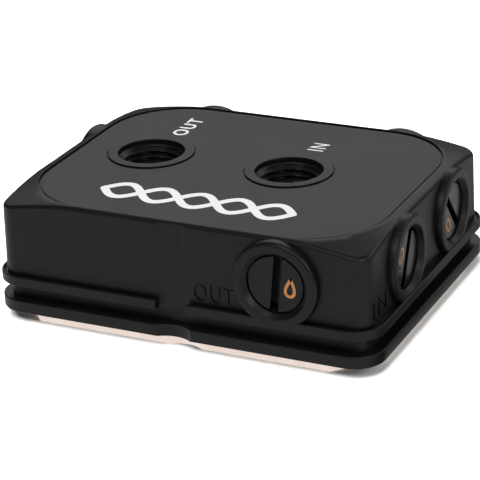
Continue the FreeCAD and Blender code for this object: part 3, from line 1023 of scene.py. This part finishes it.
@dataclass(frozen=True)
class DropMark:
    """The small metallic print beside a plug's slot: a plain drop outline."""

    port: SidePort
    height: float = 3.6
    width: float = 2.6
    pen: float = 0.6
    offset: float = 3.0
    raise_by: float = 0.015
    sink: float = 0.01
    steps: int = 28
    tip_pinch: float = 1.4

    def build(self) -> bpy.types.Object:
        """Draw the drop as a closed pen stroke on the plug's face.

        Returns:
            The finished mesh object.
        """
        path = []
        for step in range(self.steps):
            turn = 2 * math.pi * (step + 0.5) / self.steps
            pinch = math.sin(turn / 2) ** self.tip_pinch
            path.append((self.width / 2 * math.sin(turn) * pinch,
                         self.height / 2 * math.cos(turn)))
        shift = Matrix.Translation((-self.offset, self.port.mark_slide, 0))
        place = self.port.plug_place() @ shift
        outline = stroke(path, self.pen)
        rings = [[(x, y, z) for x, y in outline] for z in (-self.raise_by, self.sink)]
        return Draft().loft(rings).to_object(f"mark_{self.port.plug}", place)


@dataclass(frozen=True)
class TopPrint:
    """The pale pad print on the top panel: two twined waves and the two port words."""

    level: float = 25.75
    thickness: float = 0.03
    pen: float = 1.65
    left: float = -21.4
    right: float = 19.3
    row: float = -18.4
    swing: float = 3.3
    eyes: int = 5
    # each port word: its first corner, its length and the height of its letters
    out_spot: tuple[float, float] = (-19.4, 12.8)
    out_size: tuple[float, float] = (10.0, 3.3)
    out_bold: float = 0.02
    in_spot: tuple[float, float] = (11.6, 14.0)
    in_size: tuple[float, float] = (4.0, 3.5)

    def wave(self, swing: float) -> bpy.types.Object:
        """Draw one wave line with round ends.

        Args:
            swing: How far it swings to each side; its sign sets where it starts.

        Returns:
            The printed line.
        """
        steps = 160
        path = []
        for step in range(steps + 1):
            part = step / steps
            path.append((self.left + (self.right - self.left) * part,
                         self.row + swing * math.sin(math.pi * self.eyes * part)))
        place = Matrix.Translation((0, 0, self.level))
        return plate_of("print_waves", stroke(path, self.pen), self.thickness, place)

    def build(self) -> list[bpy.types.Object]:
        """Print the twined waves and the words.

        Returns:
            The printed pieces.
        """
        waves = self.wave(self.swing)
        work_on(waves, Cut.JOIN, [self.wave(-self.swing)])
        along, toward = Vector((0, 1, 0)), Vector((-1, 0, 0))
        outlet = word("OUT", *self.out_size, self.thickness, self.out_bold,
                      facing(Vector((*self.out_spot, self.level)), along, toward))
        inlet = word("IN", *self.in_size, self.thickness, 0.0,
                     facing(Vector((*self.in_spot, self.level)), along, toward))
        outlet.name, inlet.name = "print_out", "print_in"
        return [waves, outlet, inlet]


# ---------------------------------------------------------------- finishes

def linear(hex_colour: str) -> tuple[float, float, float, float]:
    """Turn an sRGB hex value into a linear colour with full alpha."""
    parts = [int(hex_colour[i:i + 2], 16) / 255 for i in (1, 3, 5)]
    return (*(part / 12.92 if part <= 0.04045 else ((part + 0.055) / 1.055) ** 2.4
              for part in parts), 1.0)


def add_node(tree: bpy.types.NodeTree, kind: str, settings: dict[str, object] | None = None,
             links: dict[str | int, bpy.types.NodeSocket] | None = None) -> bpy.types.Node:
    """Add one shader node with its settings and incoming links.

    Args:
        tree: The material's node tree.
        kind: Blender's name for the kind of node.
        settings: Values for its sockets or its own properties, by name.
        links: Sockets of other nodes that feed its sockets, by name or number.

    Returns:
        The new node.
    """
    node = tree.nodes.new(kind)
    for name, value in (settings or {}).items():
        if hasattr(node, name):
            setattr(node, name, value)
        else:
            node.inputs[name].default_value = value
    for name, source in (links or {}).items():
        tree.links.new(source, node.inputs[name])
    return node


def per_mm(size: float) -> float:
    """Return the texture scale that draws features of a size given in millimetres."""
    return 1.0 / (size * MM)


@dataclass(frozen=True)
class Finish:
    """What every finish has: a name, a shader's plain numbers and a grain."""

    name: str
    colour: str
    worn_colour: str
    roughness: float
    metallic: float = 0.0
    specular: float = 0.5
    grain_mm: float = 0.3
    grain_height_mm: float = 0.01
    cloud_mm: float = 9.0
    cloud_roughness: float = 0.05
    stretch: tuple[float, float, float] = (1.0, 1.0, 1.0)

    def build(self) -> bpy.types.Material:
        """Make the material: clouded colour and roughness over a fine grain.

        Returns:
            The Blender material.
        """
        material = bpy.data.materials.new(self.name)
        material.use_nodes = True
        tree = material.node_tree
        shader = tree.nodes["Principled BSDF"]
        shader.inputs["Metallic"].default_value = self.metallic
        shader.inputs["Specular IOR Level"].default_value = self.specular
        place = add_node(tree, "ShaderNodeTexCoord").outputs["Object"]
        drawn = add_node(tree, "ShaderNodeMapping", {"Scale": self.stretch}, {"Vector": place})
        cloud = add_node(tree, "ShaderNodeTexNoise",
                         {"Scale": per_mm(self.cloud_mm), "Detail": 4.0}, {"Vector": place})
        tint = add_node(tree, "ShaderNodeMix", {"data_type": "RGBA"})
        tint.inputs[6].default_value = linear(self.colour)
        tint.inputs[7].default_value = linear(self.worn_colour)
        tree.links.new(cloud.outputs["Fac"], tint.inputs[0])
        tree.links.new(tint.outputs[2], shader.inputs["Base Color"])
        gloss = add_node(tree, "ShaderNodeMapRange",
                         {"From Min": 0.3, "From Max": 0.7,
                          "To Min": self.roughness - self.cloud_roughness,
                          "To Max": self.roughness + self.cloud_roughness},
                         {"Value": cloud.outputs["Fac"]})
        tree.links.new(gloss.outputs["Result"], shader.inputs["Roughness"])
        grain = add_node(tree, "ShaderNodeTexNoise",
                         {"Scale": per_mm(self.grain_mm), "Detail": 3.0},
                         {"Vector": drawn.outputs["Vector"]})
        bump = add_node(tree, "ShaderNodeBump",
                        {"Strength": 0.6, "Distance": self.grain_height_mm * MM},
                        {"Height": grain.outputs["Fac"]})
        tree.links.new(bump.outputs["Normal"], shader.inputs["Normal"])
        return material


# Glass-filled nylon, moulded in a spark-eroded tool: satin black with a soft, even glow on
# the flats. The real 0.1 mm grain is drawn at 0.35 mm so that it shows at this distance.
MOULDED_NYLON = Finish("moulded_glass_filled_nylon", "#060606", "#080809", 0.42, specular=0.22,
                       grain_mm=0.35, grain_height_mm=0.006, cloud_mm=11.0, cloud_roughness=0.015)
# Black nickel plating on turned brass: dark mirror-like faces, turning rings just visible.
BLACK_NICKEL = Finish("black_nickel_plated_brass", "#232426", "#2c2d2f", 0.22, metallic=1.0,
                      grain_mm=0.5, grain_height_mm=0.003, cloud_mm=3.0, cloud_roughness=0.04)
# Bare copper, face-ground and bright, with fine straight scratches. Painted glare: its pale rose
# colour is lightened nearly to white, for edges that read white in the floor's glare, clouded warmer.
GROUND_COPPER_PAINTED_GLARE = Finish("ground_copper_painted_glare", "#f5e9e3", "#e6cfc1", 0.28, metallic=1.0,
                       grain_mm=0.25, grain_height_mm=0.003, cloud_mm=6.0, cloud_roughness=0.06,
                       stretch=(0.06, 1.0, 1.0))
# Pale grey pad print: an even, slightly chalky film that reads white on the black.
PAD_PRINT = Finish("pale_pad_print", "#a4a4a3", "#9c9c9b", 0.55, grain_mm=0.4,
                   grain_height_mm=0.004, cloud_mm=4.0)
# Copper-gold hot foil: a bright warm metal film, thin at its edges.
HOT_FOIL = Finish("copper_gold_foil", "#c98f5e", "#a56f44", 0.32, metallic=1.0, grain_mm=0.3,
                  grain_height_mm=0.002, cloud_mm=1.0)
# Nitrile rubber, moulded: matt black with no sparkle.
NITRILE = Finish("nitrile_rubber", "#141414", "#1c1c1b", 0.7, specular=0.35, grain_mm=0.4,
                 grain_height_mm=0.01, cloud_mm=4.0)
# Cold-rolled stainless sheet: pale grey with the mill's fine straight lines.
MILL_STAINLESS = Finish("mill_finish_stainless", "#b9bbbd", "#9fa1a4", 0.32, metallic=1.0,
                        grain_mm=0.3, grain_height_mm=0.003, cloud_mm=8.0, stretch=(1.0, 0.05, 1.0))
# Blackened alloy steel of the socket screws: dark, oily sheen.
BLACK_STEEL = Finish("blackened_screw_steel", "#2a2a2c", "#3a3a3c", 0.38, metallic=1.0,
                     grain_mm=0.3, grain_height_mm=0.003, cloud_mm=1.5)
# Studio paper: matt, pale and even, with a faint tooth.
STUDIO_PAPER = Finish("studio_paper", "#f2f2f1", "#ececeb", 0.9, specular=0.1, grain_mm=1.2,
                      grain_height_mm=0.01, cloud_mm=60.0, cloud_roughness=0.02)


def dress(thing: bpy.types.Object, material: bpy.types.Material) -> None:
    """Give an object one material."""
    thing.data.materials.clear()
    thing.data.materials.append(material)


# ---------------------------------------------------------------- studio

@dataclass(frozen=True)
class Softbox:
    """A rectangular soft light that looks at the block."""

    name: str
    azimuth: float
    elevation: float
    distance: float
    width: float
    height: float
    power: float
    mirrored: bool = True

    def build(self, target: Vector) -> None:
        """Hang the light at its angles, in metres and watts.

        Args:
            target: What it is aimed at, in metres.
        """
        turn, rise = math.radians(self.azimuth), math.radians(self.elevation)
        way = Vector((math.sin(turn) * math.cos(rise), -math.cos(turn) * math.cos(rise),
                      math.sin(rise)))
        lamp = bpy.data.lights.new(self.name, "AREA")
        lamp.shape = "RECTANGLE"
        lamp.size, lamp.size_y, lamp.energy = self.width, self.height, self.power
        holder = bpy.data.objects.new(self.name, lamp)
        holder.location = target + way * self.distance
        holder.rotation_euler = (-way).to_track_quat("-Z", "Y").to_euler()
        holder.visible_glossy = self.mirrored
        bpy.context.scene.collection.objects.link(holder)


@dataclass(frozen=True)
class Card:
    """A flat card just over the floor that only mirror-like reflections meet.

    Black plastic takes its tone from what it mirrors, so the cards set the tones of the walls.
    """

    name: str
    low: tuple[float, float]
    high: tuple[float, float]
    level: float
    glow: float

    def build(self) -> None:
        """Lay the card between its corners and give it its glow."""
        (x0, y0), (x1, y1) = self.low, self.high
        card = plate_of(self.name, [(x0, y0), (x1, y0), (x1, y1), (x0, y1)], 0.01,
                        Matrix.Translation((0, 0, self.level)))
        material = bpy.data.materials.new(self.name)
        material.use_nodes = True
        tree = material.node_tree
        light = add_node(tree, "ShaderNodeEmission",
                         {"Color": (self.glow,) * 3 + (1.0,), "Strength": 1.0})
        tree.links.new(light.outputs["Emission"], tree.nodes["Material Output"].inputs["Surface"])
        dress(card, material)
        card.visible_camera = card.visible_diffuse = card.visible_shadow = False


@dataclass(frozen=True)
class Studio:
    """The floor, the surround, the soft lights and the camera."""

    softboxes: tuple[Softbox, ...] = (
        Softbox("top_light", -30.0, 72.0, 1.4, 1.4, 1.4, 50.0, mirrored=False),
        Softbox("right_light", 62.0, 30.0, 0.9, 0.25, 0.4, 2.5),
        Softbox("brow_light", 4.0, 50.0, 1.4, 0.26, 0.36, 6.0),
    )
    cards: tuple[Card, ...] = (
        Card("ground_card", (-2000.0, -2000.0), (2000.0, 2000.0), 0.03, 0.07),
        Card("bright_card", (-500.0, -600.0), (44.0, 110.0), 0.05, 1.0),
        Card("corner_card", (44.0, -600.0), (500.0, -26.0), 0.07, 1.1),
        Card("far_card", (44.0, -26.0), (500.0, 300.0), 0.09, 0.65),
        Card("near_card", (44.0, -26.0), (62.0, 16.0), 0.11, 0.04),
        Card("lip_card", (43.0, -31.0), (48.0, 90.0), 0.13, 0.03),
    )
    # the surround: (height, grey) stops, then the axes along which it is shaded off, each with
    # where it is dark and where it is full
    sky: tuple[tuple[float, float], ...] = ((0.0, 0.01), (0.36, 0.01), (0.42, 3.7), (0.52, 2.9),
                                            (0.62, 0.06), (1.0, 0.1))
    shaded: tuple[tuple[str, float, float], ...] = (("Y", -0.1, 0.2), ("X", -0.74, -0.56))
    shade: float = 0.05
    floor_size: float = 6.0
    lens_mm: float = 157.8
    sensor_mm: float = 36.0
    camera_spot: tuple[float, float, float] = (173.30, -353.01, 180.60)
    yaw: float = -0.459
    pitch: float = 0.409
    roll: float = -0.044

    def camera(self) -> bpy.types.Object:
        """Place the camera and make it the scene's.

        Returns:
            The camera.
        """
        ahead = Vector((math.sin(self.yaw) * math.cos(self.pitch),
                        math.cos(self.yaw) * math.cos(self.pitch), -math.sin(self.pitch)))
        level = Vector((math.cos(self.yaw), -math.sin(self.yaw), 0.0))
        above = level.cross(ahead)
        right = level * math.cos(self.roll) + above * math.sin(self.roll)
        up = above * math.cos(self.roll) - level * math.sin(self.roll)
        eye = bpy.data.cameras.new("camera")
        eye.lens, eye.sensor_width = self.lens_mm, self.sensor_mm
        eye.clip_start, eye.clip_end = 0.01, 50.0
        camera = bpy.data.objects.new("camera", eye)
        camera.matrix_world = facing(Vector(self.camera_spot) * MM, right, up)
        bpy.context.scene.collection.objects.link(camera)
        bpy.context.scene.camera = camera
        return camera

    def floor(self) -> bpy.types.Object:
        """Lay the pale floor under the block.

        Returns:
            The floor.
        """
        half = self.floor_size / 2 / MM
        floor = plate_of("floor", [(-half, -half), (half, -half), (half, half), (-half, half)],
                         5.0, Matrix.Translation((0, 0, -5.0)))
        dress(floor, STUDIO_PAPER.build())
        return floor

    def surround(self) -> bpy.types.World:
        """Make the surround, a grey that changes with height and is shaded off in front and left.

        Returns:
            The Blender world.
        """
        world = bpy.data.worlds.new("studio")
        world.use_nodes = True
        tree = world.node_tree
        way = add_node(tree, "ShaderNodeTexCoord").outputs["Generated"]
        part = add_node(tree, "ShaderNodeSeparateXYZ", links={"Vector": way}).outputs
        ramp = add_node(tree, "ShaderNodeValToRGB", links={"Fac": part["Z"]})
        stops = ramp.color_ramp.elements
        while len(stops) < len(self.sky):
            stops.new(0.5)
        for stop, (rise, grey) in zip(stops, self.sky):
            stop.position, stop.color = rise, (grey,) * 3 + (1.0,)
        shades = [add_node(tree, "ShaderNodeMapRange",
                           {"From Min": dark, "From Max": full, "To Min": self.shade},
                           {"Value": part[axis]}).outputs["Result"]
                  for axis, dark, full in self.shaded]
        both = add_node(tree, "ShaderNodeMath", {"operation": "MULTIPLY"},
                        {0: shades[0], 1: shades[1]})
        background = tree.nodes["Background"].inputs
        tree.links.new(ramp.outputs["Color"], background["Color"])
        tree.links.new(both.outputs["Value"], background["Strength"])
        return world

    def build(self) -> None:
        """Set up the whole studio."""
        scene = bpy.context.scene
        scene.view_settings.view_transform = "Standard"
        scene.world = self.surround()
        for softbox in self.softboxes:
            softbox.build(Vector((0, 0, 0.012)))
        for card in self.cards:
            card.build()
        self.floor()
        self.camera()


# ---------------------------------------------------------------- putting it together

def seat(piece: bpy.types.Object, material: bpy.types.Material,
         stands_for: str | None = None) -> None:
    """Dress a piece, tie it to the block and hide the frame's node that it replaces.

    Args:
        piece: The finished mesh object.
        material: Its finish.
        stands_for: The frame's node that it replaces, where it does.
    """
    dress(piece, material)
    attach(piece, BODY)
    if stands_for:
        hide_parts(stands_for)
    LOG.info("%s: %d faces", piece.name, len(piece.data.polygons))


def main() -> None:
    """Build every piece in order, dress it and set up the studio."""
    logging.basicConfig(level=logging.INFO, format="%(name)s: %(message)s")
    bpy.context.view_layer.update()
    nylon, nickel, copper = MOULDED_NYLON.build(), BLACK_NICKEL.build(), GROUND_COPPER_PAINTED_GLARE.build()
    rubber, stainless = NITRILE.build(), MILL_STAINLESS.build()
    ink, foil, steel = PAD_PRINT.build(), HOT_FOIL.build(), BLACK_STEEL.build()
    seat(Housing().build(), nylon, "housing")
    for port in SIDE_PORTS:
        seat(Plug(port).build(), nickel, port.plug)
        seat(DropMark(port).build(), foil)
    for piece in TopPrint().build():
        seat(piece, ink)
    seat(BasePlate().build(), copper, "cold_plate")
    for i, (x, y) in enumerate(SCREW_SPOTS, 1):
        seat(SCREW.build(f"base_screw_{i}", x, y), steel)
    carried = {"jet_plate": stainless}
    for name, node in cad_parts.items():
        if not node.hide_render:
            dress(node, carried.get(name, rubber))
    Studio().build()


if __name__ == "__main__":
    main()
